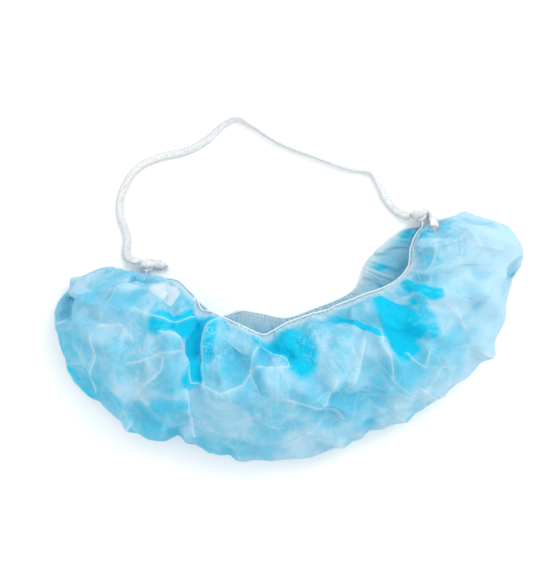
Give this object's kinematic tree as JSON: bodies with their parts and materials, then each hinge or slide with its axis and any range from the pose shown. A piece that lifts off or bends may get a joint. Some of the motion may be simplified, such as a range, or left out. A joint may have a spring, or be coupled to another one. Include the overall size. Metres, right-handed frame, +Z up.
{
  "type": "disposable beard net",
  "caption": "Gathered non-woven beard cover with an elastic mouth and a limp elastic head cord, lying on a table.",
  "frame": {"origin": "middle of the pouch, mouth elastic and knots seen from above, on the table", "axes": "+X from the left end of the pouch to the right one, +Y the side that the mouth faces, +Z up"},
  "size_m": [0.258, 0.1888, 0.055],
  "materials": {
    "non_woven": "matt, translucent light blue",
    "edge_elastic": "matt white covered elastic",
    "knitted_elastic": "matt white knitted elastic"
  },
  "bodies": {
    "root": {"beard_pouch": "non_woven", "mouth_elastic": "edge_elastic", "left_knot": "knitted_elastic", "right_knot": "knitted_elastic", "head_elastic": "knitted_elastic"}
  },
  "joints": []
}
